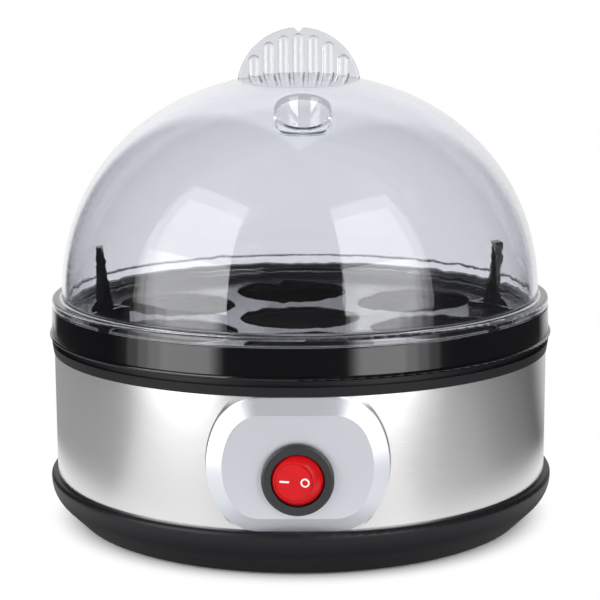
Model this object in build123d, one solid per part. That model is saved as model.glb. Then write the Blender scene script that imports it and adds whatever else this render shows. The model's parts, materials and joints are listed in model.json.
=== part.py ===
from build123d import *

import os
from math import cos, radians, sin, sqrt

# An egg cooker: a heated base with a steel band, a lift-out egg tray and a clear domed lid.
# Millimetres, +Z up. The front faces -Y, the feet stand on z = 0 and the axis is at the origin.

# Clearances
fit_gap = 0.15
slip_gap = 0.4
turn_gap = 0.3
pin_gap = 0.05
screw_gap = 0.1

# Base shell
foot_stand = 1.0
base_lip_out = 2.3
base_flare_w = 9.6
base_h = 17.0
base_lip_h = 0.4
base_edge_r = 1.6
base_wall = 2.4
spigot_h = 4.0
spigot_t = 2.2

# Steel band
band_step = 0.5
band_t = 0.5
band_h = 43.6
band_seam = 0.4

# Body housing: skirt, collar, neck and water bowl
skirt_h = 4.6
skirt_t = 2.2
collar_out = 0.3
collar_taper = 0.5
collar_h = 3.2
groove_h = 2.1
neck_step = 1.4
neck_t = 2.5
neck_h = 4.1
bowl_t = 2.2
bowl_lip_drop = 5.0
bowl_rim_w = 1.5

# Upper ring
ring_taper = 0.4
ring_h = 10.4
ring_wall = 3.3
ring_edge_r = 0.5
bead_r = 0.7
ledge_w = 4.1
ledge_t = 2.0
guide_count = 8
guide_d = 0.25
guide_w = 1.2

# Egg tray: its holes set the width of the whole cooker
egg_hole_r = 21.2
egg_hole_edge = 0.5
egg_web = 8.6
egg_margin = 3.7
egg_count = 6
tray_angle = 4.0
tray_t = 2.0
tray_centre_drop = 3.0
tray_rise = 2.2
tray_step_w = 2.2
tray_flange_t = 1.4

# Finger posts of the egg tray
post_in = 3.9
post_h = 21.7
post_plate_t = 2.0
post_top_w = 9.0
post_foot_w = 11.0
post_edge_r = 1.8
post_rib_t = 1.8
post_rib_reach = 4.5
foot_wall_h = 3.4
foot_wall_t = 1.4
foot_wall_in = 0.4
foot_margin = 9.2

# Lid
lid_angle = 2.3
lid_t = 2.0
flange_w = 3.5
flange_t = 3.0
flange_edge_r = 0.9
dome_h = 77.5
dome_fullness = 0.584
dome_foot_r = 1.0
lid_skirt_h = 2.1
lid_skirt_t = 1.8

# Finger plate on the lid
knob_r = 21.8
knob_sink = 6.2
knob_t = 3.0
knob_rim_w = 1.6
knob_edge_r = 0.7
rib_count = 7
rib_pitch = 5.2
rib_r = 2.5
notch_w = 3.5
notch_h = 1.6

# Steam vent sunk into the lid
vent_in = 42.4
vent_r = 8.6
vent_wall = 1.1
vent_sink = 17.8
vent_corner_r = 2.4
vent_hole_r = 3.0
vent_edge_r = 1.2

# Control panel
panel_r = 28.9
panel_corner_r = 16.0
panel_stand = 3.1
panel_slope_w = 5.0
panel_slope_d = 3.0
panel_wall = 3.2
panel_face_t = 2.2
panel_edge_gap = 0.2
panel_cut_room = 3.3
panel_screw_in = 6.4
panel_boss_r = 3.0

# Rocker switch
switch_drop = 3.7
bezel_w = 1.5
bezel_t = 2.4
bezel_edge_r = 0.9
lip_t = 1.0
barrel_wall = 0.6
barrel_len = 15.0
switch_floor_t = 5.0
rocker_r = 9.1
rocker_rim_w = 2.6
rocker_sink = 4.95
rocker_trim = 1.0
rocker_groove_in = 0.35
rocker_groove_w = 0.35
rocker_groove_d = 0.3
rocker_back = 1.8
rocker_angle = 11.0
rocker_pin_r = 1.2
rocker_pin_len = 1.2
blade_w = 4.8
blade_t = 0.8
blade_len = 8.0
blade_root = 3.0
blade_x = 4.0

# Heating plate and what clamps it
plate_in = 24.5
seat_drop = 17.6
seat_t = 2.4
seat_w = 6.5
gasket_t = 1.2
gasket_w = 5.0
plate_flange_t = 2.0
plate_floor_t = 3.0
plate_dish_in = 8.0
plate_dish_w = 3.0
plate_body_gap = 2.0
clamp_t = 1.2
clamp_in = 13.0
clamp_out = 5.0
stud_in = 7.5
stud_r = 2.0
stud_len = 6.6
stud_count = 3
stud_angle = 90.0
nut_af = 7.0
nut_h = 3.2

# Heating element
element_room = 2.5
element_tube_r = 3.25
element_gap_angle = 38.0
element_angle = 90.0
element_bend_r = 8.0
element_drop = 4.0
element_pin_r = 1.6
element_pin_len = 7.0

# Thermostat under the plate
stat_cap_r = 8.0
stat_cap_h = 3.8
stat_body_r = 7.0
stat_body_h = 8.8
stat_blade_len = 8.0
stat_blade_root = 1.5
stat_blade_w = 4.0
stat_blade_t = 0.8
stat_blade_z = 4.5
bracket_t = 0.8
bracket_w = 17.0
bracket_len = 32.0
small_stud_r = 1.5
small_stud_x = 12.0
small_stud_len = 7.0
small_nut_af = 5.5
small_nut_h = 2.4

# Thermal fuse under the plate
fuse_y = 17.0
fuse_r = 2.0
fuse_len = 10.0
fuse_wire_r = 0.6
fuse_wire_len = 4.0
sleeve_t = 0.6
sleeve_len = 12.0
clip_t = 0.8
clip_w = 6.0
clip_foot = 7.0

# Fasteners and feet under the base
screw_in = 10.1
screw_count = 4
screw_angle = 31.0
screw_r = 1.5
screw_len = 16.0
screw_head_r = 3.2
screw_head_h = 2.0
cross_w = 0.9
cross_len = 3.6
cross_d = 1.2
post_wall = 2.2
base_post_h = 11.0
base_web_t = 4.0
boss_r = 4.2
foot_in = 9.6
foot_count = 4
foot_angle = 76.0
foot_r = 7.0
foot_recess = 1.2
foot_stem_r = 2.2
foot_bulb_r = 3.4
foot_bulb_h = 1.4

# Cord gland, the inlet at the back
gland_bore_r = 3.6
gland_neck_r = 6.0
gland_flange_r = 8.0
gland_nose_r = 6.2
gland_flange_t = 2.2
gland_nose_len = 4.0
gland_back_t = 4.0
gland_rise = 2.0

# Terminal block behind the gland
block_in = 29.4
block_w = 24.0
block_d = 12.0
block_h = 10.0
block_way_x = 7.0
block_insert_r = 2.6
block_bore_r = 1.5
rail_h = 3.0
rail_t = 1.6
set_screw_r = 1.25
set_screw_len = 5.0
slot_w = 0.5
slot_d = 0.8

# Leads and the lanes they run in under the plate
lead_r = 1.2
lead_bend = 5.0
lead_end_in = 3.0
lead_run_in = 15.5
lead_pin_drop = 10.0
lead_lane_x = 36.0
lead_lane_y = 30.0
lead_loop_x = 25.0
lead_loop_y = 26.0
lead_loop_z = 12.0
lead_fuse_x = 18.5
lead_mid_y = 36.0
lead_mid_drop = 20.6

# Heights worked out from the sizes above
band_z0 = base_h
band_z1 = band_z0 + band_h
collar_z1 = band_z1 + collar_h
ring_z0 = collar_z1 + groove_h
neck_z1 = ring_z0 + neck_h
tray_seat_z = neck_z1 + ledge_t
ring_z1 = ring_z0 + ring_h
tray_z = tray_seat_z - tray_centre_drop
flange_z1 = ring_z1 + flange_t
apex_z = flange_z1 + dome_h
knob_z = apex_z - knob_sink
vent_floor_z = apex_z - vent_sink
seat_z = band_z1 - seat_drop
seat_under_z = seat_z - seat_t
bowl_rim_z = seat_z + gasket_t + plate_flange_t
clamp_z0 = seat_under_z - clamp_t

# Radii worked out from the egg holes outwards
egg_ring_r = 2 * egg_hole_r + egg_web
tray_edge_r = egg_ring_r + egg_hole_r + egg_margin
tray_foot_r = tray_edge_r + tray_step_w
tray_body_r = tray_foot_r + tray_t
post_r = tray_edge_r - post_in
foot_outer_r = tray_edge_r - foot_wall_in
ledge_in_r = tray_body_r + slip_gap
ring_in_r = ledge_in_r + ledge_w
tray_r = ring_in_r - slip_gap
ring_top_r = ring_in_r + ring_wall
ring_foot_r = ring_top_r + ring_taper
dome_r = ring_top_r - flange_w
vent_y = vent_in - dome_r
neck_r = ring_top_r - neck_step
neck_in_r = neck_r - neck_t
collar_r = ring_top_r + collar_out
collar_foot_r = collar_r - collar_taper
band_r = ring_top_r - band_step
spigot_r = band_r - band_t - fit_gap
base_lip_r = band_r + base_lip_out
base_floor_r = base_lip_r - base_flare_w
base_bend_r = (base_h - foot_stand - base_flare_w - base_edge_r - base_lip_h) / (sqrt(2) - 1)
foot_ring_r = base_floor_r - foot_in
screw_ring_r = base_floor_r - screw_in
block_y = band_r - block_in

# Radii of the heating plate and what hangs under it
plate_r = ring_in_r - plate_in
seat_r = plate_r + slip_gap
seat_hole_r = seat_r - seat_w
plate_dish_r = seat_hole_r - plate_dish_in
stud_ring_r = seat_hole_r - stud_in
clamp_in_r = seat_hole_r - clamp_in
clamp_out_r = seat_hole_r + clamp_out
element_r = clamp_in_r - element_room - element_tube_r

# Sizes of the switch worked out from its rocker
rocker_face_r = rocker_r - rocker_rim_w
rocker_face = sqrt(rocker_r ** 2 - rocker_face_r ** 2)
rocker_flat = rocker_r - rocker_trim
opening_r = sqrt(rocker_r ** 2 - (rocker_sink - lip_t) ** 2) + turn_gap
barrel_r = rocker_r + turn_gap + barrel_wall
bezel_r = barrel_r + bezel_w

# The control panel and switch stand off the axis towards the front
panel_z = band_z0 + band_h / 2
panel_h = band_h - 2 * panel_edge_gap
panel_front = band_r + panel_stand
switch_z = panel_z - switch_drop
switch_front = panel_front + bezel_t
switch_back = panel_front - barrel_len
pivot_front = switch_front - rocker_sink
panel_cut_r = barrel_r + switch_drop + panel_cut_room
panel_screw_x = panel_r - panel_screw_in


def outline(points, rounds=()):
    """Closed outline through the points, with a radius at each named corner."""
    face = make_face(Polyline(*points, close=True))
    for corner, radius in rounds:
        face = fillet(face.vertices().sort_by_distance(corner)[0], radius)
    return face


def turned(points, rounds=()):
    """Outline of (radius, height) points turned about the Z axis."""
    return revolve(Plane.XZ * outline(points, rounds), Axis.Z)


def upright(radius, low, high):
    """Round bar on the Z axis between two heights."""
    return Pos(0, 0, low) * Cylinder(radius, high - low, align=(Align.CENTER, Align.CENTER, Align.MIN))


def forward(radius, near, far):
    """Round bar along -Y between two distances from the axis, at the origin's height."""
    return extrude(Plane.XZ.offset(near) * Circle(radius), far - near)


def around(radius, count, turn):
    """Places spaced evenly on a circle, the first at the angle turn."""
    return PolarLocations(radius, count, start_angle=turn, rotate=False)


def hex_nut(across_flats, bore, low, height):
    blank = extrude(Pos(0, 0, low) * RegularPolygon(across_flats / 2, 6, major_radius=False), height)
    return blank - upright(bore, low, low + height)


def base_shell():
    flare_top = foot_stand + base_lip_r - base_floor_r
    body = turned(
        [
            (0, foot_stand),
            (base_floor_r, foot_stand),
            (base_lip_r, flare_top),
            (base_lip_r, base_h),
            (0, base_h),
        ],
        [((base_lip_r, flare_top), base_bend_r), ((base_lip_r, base_h), base_edge_r)],
    )
    body += upright(spigot_r, base_h, base_h + spigot_h)
    floor_z = foot_stand + base_wall
    hollow_r = spigot_r - spigot_t
    flare = base_lip_r - base_wall - hollow_r
    body -= turned([
        (0, floor_z),
        (base_floor_r - flare, floor_z),
        (hollow_r, floor_z + hollow_r - base_floor_r + flare),
        (hollow_r, base_h + spigot_h),
        (0, base_h + spigot_h),
    ])
    web_z = foot_stand + base_post_h - base_web_t
    post = upright(screw_head_r + slip_gap + post_wall, foot_stand, foot_stand + base_post_h)
    counterbore = upright(screw_head_r + slip_gap, 0, web_z)
    clearance = upright(screw_r + fit_gap, 0, foot_stand + base_post_h)
    for place in around(screw_ring_r, screw_count, screw_angle):
        body += place * post
        body -= place * (counterbore + clearance)
    recess = upright(foot_r + fit_gap, 0, foot_stand + foot_recess)
    stem_hole = upright(foot_stem_r + screw_gap, 0, floor_z)
    for place in around(foot_ring_r, foot_count, foot_angle):
        body -= place * (recess + stem_hole)
    rail = Box(block_w + 2 * rail_t, rail_t, rail_h, align=(Align.CENTER, Align.CENTER, Align.MIN))
    for side in (-1, 1):
        rail_y = block_y + side * (block_d / 2 + fit_gap + rail_t / 2)
        body += Pos(0, rail_y, floor_z) * rail
    return body


def rubber_feet():
    floor_z = foot_stand + base_wall
    foot = turned(
        [
            (0, 0),
            (foot_r, 0),
            (foot_r, foot_stand + foot_recess),
            (foot_stem_r, foot_stand + foot_recess),
            (foot_stem_r, floor_z),
            (foot_bulb_r, floor_z),
            (foot_stem_r, floor_z + foot_bulb_h),
            (0, floor_z + foot_bulb_h),
        ],
        [((foot_r, 0), foot_stand / 2)],
    )
    return [place * foot for place in around(foot_ring_r, foot_count, foot_angle)]


def pan_screw(seat, shank, length, head, head_h):
    """Screw that points up, with a cross-slotted head under the seat height."""
    bar = upright(shank, seat - head_h, seat + length)
    cap = upright(head, seat - head_h, seat)
    screw = bar + fillet(cap.edges().group_by(Axis.Z)[0], head_h / 3)
    for width, depth in ((cross_len, cross_w), (cross_w, cross_len)):
        screw -= Pos(0, 0, seat - head_h) * Box(width, depth, 2 * cross_d)
    return screw


def base_screws():
    web_z = foot_stand + base_post_h - base_web_t
    screw = pan_screw(web_z, screw_r, screw_len, screw_head_r, screw_head_h)
    return [place * screw for place in around(screw_ring_r, screw_count, screw_angle)]


def steel_band():
    band = upright(band_r, band_z0, band_z1) - upright(band_r - band_t, band_z0, band_z1)
    window = Pos(0, 0, panel_z) * forward(panel_cut_r, band_r / 2, panel_front)
    band -= window
    for side in (-1, 1):
        band -= Pos(side * panel_screw_x, 0, panel_z) * forward(screw_r + fit_gap, band_r / 2, panel_front)
    band -= Pos(0, 0, gland_z()) * forward(gland_neck_r + screw_gap, -band_r - band_t, -band_r / 2)
    return band - Pos(0, band_r, panel_z) * Box(band_seam, band_r, band_h)


def bowl_lines():
    """Inner slope of the water bowl: where it starts, where it ends and how far below it the outside runs."""
    low = (seat_r + bowl_rim_w, bowl_rim_z)
    high = (neck_in_r, neck_z1 - bowl_lip_drop)
    slope = (high[1] - low[1]) / (high[0] - low[0])
    drop = bowl_t * sqrt(1 + slope ** 2)
    return low, high, slope, drop


def body_housing():
    low, high, slope, drop = bowl_lines()
    skirt_in_r = spigot_r - skirt_t
    out_r = seat_r + bowl_t
    shell = turned([
        (0, seat_under_z),
        (out_r, seat_under_z),
        (out_r, low[1] + slope * (out_r - low[0]) - drop),
        (skirt_in_r, low[1] + slope * (skirt_in_r - low[0]) - drop),
        (skirt_in_r, band_z1 - skirt_h),
        (spigot_r, band_z1 - skirt_h),
        (spigot_r, band_z1),
        (collar_foot_r, band_z1),
        (collar_r, collar_z1),
        (neck_r, collar_z1),
        (neck_r, neck_z1),
        (0, neck_z1),
    ])
    boss = upright(boss_r, foot_stand + base_post_h, high[1])
    pilot = upright(screw_r + pin_gap, 0, foot_stand + base_post_h + screw_len)
    for place in around(screw_ring_r, screw_count, screw_angle):
        shell += place * boss
        shell -= place * pilot
    bowl = turned([
        (0, seat_under_z),
        (seat_hole_r, seat_under_z),
        (seat_hole_r, seat_z),
        (seat_r, seat_z),
        (seat_r, low[1]),
        low,
        high,
        (high[0], neck_z1),
        (0, neck_z1),
    ])
    return shell - bowl


def upper_ring():
    bore_r = neck_r + fit_gap
    body = turned(
        [
            (bore_r, ring_z0),
            (ring_foot_r, ring_z0),
            (ring_top_r, ring_z1),
            (ring_in_r, ring_z1),
            (ring_in_r, tray_seat_z),
            (ledge_in_r, tray_seat_z),
            (ledge_in_r, neck_z1),
            (bore_r, neck_z1),
        ],
        [((ring_top_r, ring_z1), ring_edge_r)],
    )
    bead = revolve(Plane.XZ * Pos(ring_foot_r, ring_z0 + bead_r) * Circle(bead_r), Axis.Z)
    guide_z0 = tray_seat_z + tray_flange_t
    guide_h = ring_z1 - ring_edge_r - guide_z0
    guide = Pos(0, 0, guide_z0 + guide_h / 2) * Box(2 * guide_d, guide_w, guide_h)
    places = PolarLocations(ring_in_r, guide_count)
    return body + bead + [place * guide for place in places]


def egg_places():
    centre = [Pos(0, 0, 0)]
    return centre + list(around(egg_ring_r, egg_count, tray_angle + 180 / egg_count))


def finger_post():
    """One post on the +X side: a low three-cornered wall, an upright plate and a rib behind it."""
    hole_x = egg_ring_r * cos(radians(180 / egg_count))
    hole_y = egg_ring_r * sin(radians(180 / egg_count))
    clear = Circle(egg_hole_r + foot_margin)
    web = Pos(hole_x, 0) * Rectangle(2 * (foot_outer_r - hole_x), 2 * hole_y)
    web -= Pos(hole_x, hole_y) * clear
    web -= Pos(hole_x, -hole_y) * clear
    web &= Circle(foot_outer_r)
    web = web.faces().sort_by(Axis.X)[-1]
    wall = web - offset(web, -foot_wall_t, kind=Kind.INTERSECTION)
    root_z = tray_z
    wall_z = tray_z + tray_rise + foot_wall_h
    top_z = wall_z + post_h
    foot = extrude(Pos(0, 0, root_z) * wall, wall_z - root_z)
    plate_face = outline(
        [
            (-post_foot_w / 2, root_z),
            (post_foot_w / 2, root_z),
            (post_top_w / 2, top_z),
            (-post_top_w / 2, top_z),
        ],
        [((post_top_w / 2, top_z), post_edge_r), ((-post_top_w / 2, top_z), post_edge_r)],
    )
    plate = extrude(Plane.YZ.offset(post_r - post_plate_t) * plate_face, post_plate_t)
    rib_r = post_r - post_plate_t
    rib_face = outline([(rib_r, root_z), (rib_r - post_rib_reach, root_z), (rib_r, top_z)])
    rib = extrude(Plane.XZ * rib_face, post_rib_t / 2, both=True)
    return foot + plate + rib


def egg_tray():
    edge_z = tray_z + tray_rise
    rim_z = tray_seat_z + tray_flange_t
    dish = turned([
        (0, tray_z - tray_t),
        (0, tray_z),
        (tray_edge_r, edge_z),
        (tray_foot_r, rim_z),
        (tray_r, rim_z),
        (tray_r, tray_seat_z),
        (tray_body_r, tray_seat_z),
        (tray_body_r - tray_step_w, edge_z - tray_t),
    ])
    under = turned([
        (0, tray_z - tray_t - ring_h),
        (0, tray_z - tray_t),
        (foot_outer_r, tray_z - tray_t + tray_rise),
        (foot_outer_r, tray_z - tray_t - ring_h),
    ])
    for side in (0, 180):
        dish += Rot(0, 0, tray_angle + side) * finger_post() - under
    for place in egg_places():
        dish -= place * upright(egg_hole_r, tray_z - ring_h, rim_z + ring_h)
    walls = dish.faces().filter_by(GeomType.CYLINDER).filter_by(is_egg_hole)
    edges = ShapeList(edge for wall in walls for edge in wall.edges().filter_by(GeomType.LINE, reverse=True))
    return fillet(edges, egg_hole_edge)


def is_egg_hole(face):
    return abs(face.radius - egg_hole_r) < pin_gap


def dome_solid(radius, top):
    """Solid under the dome's curve, from the flange up."""
    rise = top - flange_z1
    curve = Bezier(
        (radius, flange_z1),
        (radius, flange_z1 + dome_fullness * rise),
        (dome_fullness * radius, top),
        (0, top),
    )
    sides = Polyline((0, top), (0, flange_z1), (radius, flange_z1))
    return revolve(Plane.XZ * make_face([curve, sides]), Axis.Z)


def finger_plate():
    """Upright half disc with round ribs on both faces and a notch at its top."""
    plate = extrude(Plane.XZ * Pos(0, knob_z) * Circle(knob_r), knob_t / 2, both=True)
    plate = fillet(plate.edges().filter_by(GeomType.CIRCLE), knob_edge_r)
    notch_z = knob_z + knob_r
    notch = outline([
        (-notch_w / 2, notch_z + notch_h),
        (-notch_w / 2, notch_z),
        (0, notch_z - notch_h),
        (notch_w / 2, notch_z),
        (notch_w / 2, notch_z + notch_h),
    ])
    plate -= extrude(Plane.XZ * notch, knob_t, both=True)
    for place in GridLocations(rib_pitch, 0, rib_count, 1):
        x = place.position.X
        cap_z = knob_z + sqrt((knob_r - knob_rim_w) ** 2 - x ** 2) - rib_r
        plate += Pos(x, 0, 0) * (upright(rib_r, knob_z, cap_z) + Pos(0, 0, cap_z) * Sphere(rib_r))
    return plate


def vent_cup(radius, floor_z, corner_r):
    """Round-cornered plug on the vent's axis, from a floor up past the dome."""
    corners = [(0, floor_z), (radius, floor_z), (radius, apex_z), (0, apex_z)]
    return Pos(0, vent_y, 0) * turned(corners, [(corners[1], corner_r)])


def lid_dome():
    outer = dome_solid(dome_r, apex_z)
    inner = dome_solid(dome_r - lid_t, apex_z - lid_t)
    well = vent_cup(vent_r + vent_wall, vent_floor_z - vent_wall, vent_corner_r + vent_wall)
    shell = outer - inner + (well & outer)
    flange_in_r = dome_r - lid_t
    flange_rim = (ring_top_r, flange_z1)
    corners = [(flange_in_r, ring_z1), (ring_top_r, ring_z1), flange_rim, (flange_in_r, flange_z1)]
    shell += turned(corners, [(flange_rim, flange_edge_r)])
    skirt_r = ring_in_r - slip_gap - fit_gap
    shell += upright(skirt_r, ring_z1 - lid_skirt_h, ring_z1) - upright(skirt_r - lid_skirt_t, 0, ring_z1)
    shell -= vent_cup(vent_r, vent_floor_z, vent_corner_r)
    shell -= Pos(0, vent_y, 0) * upright(vent_hole_r, vent_floor_z - 2 * vent_wall, apex_z)
    shell += finger_plate() - inner
    shell = fillet(shell.edges().filter_by(is_dome_foot), dome_foot_r)
    return Rot(0, 0, lid_angle) * fillet(shell.edges().filter_by(is_vent_rim), vent_edge_r)


def runs_round(edge, radius, centre_y):
    """Whether the edge bends round an upright axis at this radius, rather than running up beside it."""
    marks = [edge @ 0, edge @ 0.5]
    near = all(abs(Vector(mark.X, mark.Y - centre_y).length - radius) < pin_gap for mark in marks)
    return near and (marks[1] - marks[0]).cross(Vector(0, 0, 1)).length > pin_gap


def is_dome_foot(edge):
    return runs_round(edge, dome_r, 0) and abs((edge @ 0).Z - flange_z1) < pin_gap


def is_vent_rim(edge):
    return runs_round(edge, vent_r, vent_y) and (edge @ 0).Z > vent_floor_z + vent_corner_r + pin_gap


def panel_face(inset=0.0):
    """Circle clipped flat above and below, with rounded corners, drawn smaller by the inset."""
    disc = Pos(0, panel_z) * Circle(panel_r - inset)
    slab = Pos(0, panel_z) * Rectangle(2 * panel_r, panel_h - 2 * inset)
    shape = disc & slab
    return fillet(shape.vertices(), panel_corner_r - inset)


def control_panel():
    shoulder = panel_front - panel_slope_d
    back = band_r - panel_r / 2
    cap = loft(
        [Plane.XZ.offset(shoulder) * panel_face(), Plane.XZ.offset(panel_front) * panel_face(panel_slope_w)],
        ruled=True,
    )
    cap += extrude(Plane.XZ.offset(back) * panel_face(), shoulder - back)
    cap -= extrude(Plane.XZ.offset(back) * panel_face(panel_wall), panel_front - panel_face_t - back)
    for side in (-1, 1):
        place = Pos(side * panel_screw_x, 0, panel_z)
        cap += place * forward(panel_boss_r, back, panel_front - panel_face_t)
        cap -= place * forward(screw_r + pin_gap, back, panel_front - panel_face_t / 2)
    cap -= Pos(0, 0, switch_z) * forward(barrel_r + fit_gap, back, panel_front)
    ahead = Pos(0, -panel_front) * Rectangle(2 * panel_front, panel_front) - Circle(band_r + pin_gap)
    return cap & extrude(ahead, apex_z)


def panel_screws():
    inside = sqrt((band_r - band_t) ** 2 - (panel_screw_x + screw_head_r) ** 2) - pin_gap
    tip = panel_front - panel_face_t / 2 - screw_gap
    head = inside - screw_head_h
    screw = forward(screw_r, head, tip) + forward(screw_head_r, head, inside)
    return [Pos(side * panel_screw_x, 0, panel_z) * screw for side in (-1, 1)]


def blade_places():
    return [Pos(side * blade_x, 0, switch_z) for side in (-1, 1)]


def switch_body():
    bezel = forward(bezel_r, panel_front, switch_front)
    bezel = fillet(bezel.edges().group_by(Axis.Y)[0], bezel_edge_r)
    body = bezel + forward(barrel_r, switch_back, panel_front)
    body -= forward(opening_r, switch_front - lip_t, switch_front)
    cavity = forward(rocker_r + turn_gap, switch_back + switch_floor_t, switch_front - lip_t)
    body -= cavity & Box(2 * bezel_r, 2 * switch_front, 2 * (rocker_flat + turn_gap))
    pin_hole = upright(rocker_pin_r + pin_gap, -barrel_r, barrel_r)
    body -= Pos(0, -pivot_front, 0) * pin_hole
    slot = Box(blade_t + pin_gap, 2 * blade_root, blade_w + pin_gap)
    for side in (-1, 1):
        body -= Pos(side * blade_x, -switch_back, 0) * slot
    return Pos(0, 0, switch_z) * body


def switch_rocker():
    ball = Sphere(rocker_r)
    keep = Box(2 * rocker_r, rocker_face + rocker_back, 2 * rocker_flat)
    cap = ball & Pos(0, (rocker_back - rocker_face) / 2, 0) * keep
    cap += upright(rocker_pin_r, -rocker_flat - rocker_pin_len, rocker_flat + rocker_pin_len)
    groove_r = rocker_face_r - rocker_groove_in
    groove = forward(groove_r, rocker_face - rocker_groove_d, rocker_face)
    cap -= groove - forward(groove_r - rocker_groove_w, 0, rocker_face)
    return Pos(0, -pivot_front, switch_z) * Rot(0, 0, -rocker_angle) * cap


def switch_terminals():
    blade = Box(blade_t, blade_root + blade_len, blade_w)
    middle = -switch_back + (blade_len - blade_root) / 2
    return [place * Pos(0, middle, 0) * blade for place in blade_places()]


def heating_plate():
    under = seat_under_z
    floor = under + plate_floor_t
    body_r = seat_hole_r - plate_body_gap
    plate = turned([
        (0, under),
        (0, floor),
        (plate_dish_r, floor),
        (plate_dish_r + plate_dish_w, bowl_rim_z),
        (plate_r, bowl_rim_z),
        (plate_r, bowl_rim_z - plate_flange_t),
        (body_r, bowl_rim_z - plate_flange_t),
        (body_r, under),
    ])
    for place in around(stud_ring_r, stud_count, stud_angle):
        plate += place * upright(stud_r, under - stud_len, under)
    for x, y in small_studs():
        plate += Pos(x, y, 0) * upright(small_stud_r, under - small_stud_len, under)
    return plate


def small_studs():
    """Studs under the plate: two for the thermostat bracket and one for the fuse clip."""
    return [(-small_stud_x, 0), (small_stud_x, 0), (0, fuse_y + clip_foot)]


def plate_gasket():
    top_z = seat_z + gasket_t
    return upright(plate_r, seat_z, top_z) - upright(plate_r - gasket_w, seat_z, top_z)


def clamp_ring():
    ring = upright(clamp_out_r, clamp_z0, seat_under_z) - upright(clamp_in_r, clamp_z0, seat_under_z)
    for place in around(stud_ring_r, stud_count, stud_angle):
        ring -= place * upright(stud_r + fit_gap, clamp_z0, seat_under_z)
    return ring


def clamp_nuts():
    nut = hex_nut(nut_af, stud_r + pin_gap, clamp_z0 - nut_h, nut_h)
    return [place * nut for place in around(stud_ring_r, stud_count, stud_angle)]


def element_ends():
    """Foot of each turned-down end of the element: right one first."""
    angle = radians(element_angle - element_gap_angle)
    x = element_r * cos(angle) - element_bend_r * sin(angle)
    y = element_r * sin(angle) + element_bend_r * cos(angle)
    z = seat_under_z - element_tube_r - pin_gap - element_bend_r - element_drop
    return [(x, y, z), (-x, y, z)]


def heating_element():
    height = seat_under_z - element_tube_r - pin_gap
    sweep_angle = 360 - 2 * element_gap_angle
    loop = CenterArc((0, 0, height), element_r, element_angle + element_gap_angle, sweep_angle)
    tube = sweep(Plane(loop @ 0, z_dir=loop % 0) * Circle(element_tube_r), loop)
    for x, y, z in element_ends():
        knee = Vector(x, y, height - element_bend_r)
        start = loop @ (1 if x > 0 else 0)
        away = loop % (1 if x > 0 else 0)
        away = away if x > 0 else away * -1
        bend = TangentArc(start, knee, tangent=away)
        path = bend + Line(knee, (x, y, z))
        tube += sweep(Plane(start, z_dir=away) * Circle(element_tube_r), path)
    return tube


def element_pins():
    return [
        Pos(x, y, 0) * upright(element_pin_r, z - element_pin_len, z) for x, y, z in element_ends()
    ]


def thermostat():
    cap_z = seat_under_z - pin_gap - stat_cap_h
    body = upright(stat_cap_r, cap_z, cap_z + stat_cap_h) + upright(stat_body_r, cap_z - stat_body_h, cap_z)
    for place in stat_blade_places():
        body -= place * Box(2 * stat_blade_root + pin_gap, stat_blade_w + pin_gap, stat_blade_t + pin_gap)
    return body


def stat_blade_places():
    z = seat_under_z - pin_gap - stat_cap_h - stat_blade_z
    return [Pos(side * stat_body_r, 0, z) for side in (1, -1)]


def thermostat_terminals():
    blades = []
    for place in stat_blade_places():
        side = 1 if place.position.X > 0 else -1
        reach = side * (stat_blade_len - stat_blade_root) / 2
        blade = Box(stat_blade_len + stat_blade_root, stat_blade_w, stat_blade_t)
        blades.append(place * Pos(reach, 0, 0) * blade)
    return blades


def thermostat_bracket():
    top = seat_under_z - pin_gap - stat_cap_h
    strip = extrude(Pos(0, 0, top - bracket_t) * SlotOverall(bracket_len, bracket_w), bracket_t)
    strip -= upright(stat_body_r + fit_gap, top - bracket_t, top)
    for side in (-1, 1):
        strip -= Pos(side * small_stud_x, 0, 0) * upright(small_stud_r + fit_gap, top - bracket_t, top)
    return strip


def bracket_nuts():
    top = seat_under_z - pin_gap - stat_cap_h - bracket_t
    nut = hex_nut(small_nut_af, small_stud_r + pin_gap, top - small_nut_h, small_nut_h)
    clip_nut = hex_nut(small_nut_af, small_stud_r + pin_gap, seat_under_z - clip_t - small_nut_h, small_nut_h)
    *pair, single = small_studs()
    return [Pos(x, y, 0) * nut for x, y in pair] + [Pos(*single, 0) * clip_nut]


def fuse_z():
    return seat_under_z - pin_gap - fuse_r - screw_gap - sleeve_t


def fuse_bar(radius, length):
    return Pos(0, fuse_y, fuse_z()) * Rot(0, 90, 0) * Cylinder(radius, length)


def thermal_fuse():
    return fuse_bar(fuse_r, fuse_len) + fuse_bar(fuse_wire_r, fuse_len + 2 * fuse_wire_len)


def fuse_sleeve():
    bore = fuse_r + screw_gap
    return fuse_bar(bore + sleeve_t, sleeve_len) - fuse_bar(bore, sleeve_len)


def fuse_clip():
    """Sheet strap that hugs the sleeve, with a foot under its stud."""
    hug_r = fuse_r + screw_gap + sleeve_t + pin_gap
    z = fuse_z()
    top = seat_under_z
    strap = Pos(fuse_y, z) * Circle(hug_r + clip_t)
    strap += Pos(fuse_y, (z + top) / 2) * Rectangle(2 * (hug_r + clip_t), top - z)
    foot_end = clip_foot + small_nut_af / 2
    strap += Pos(fuse_y + foot_end / 2, top - clip_t / 2) * Rectangle(foot_end, clip_t)
    strap -= Pos(fuse_y, z) * Circle(hug_r)
    strap -= Pos(fuse_y, (z + top) / 2) * Rectangle(2 * hug_r, top - z)
    strap &= Pos(fuse_y, top - clip_foot) * Rectangle(4 * clip_foot, 2 * clip_foot)
    clip = extrude(Plane.YZ * strap, clip_w / 2, both=True)
    return clip - Pos(0, fuse_y + clip_foot, 0) * upright(small_stud_r + fit_gap, top - clip_t, top)


def gland_z():
    return base_h + spigot_h + gland_flange_r + gland_rise


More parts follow.
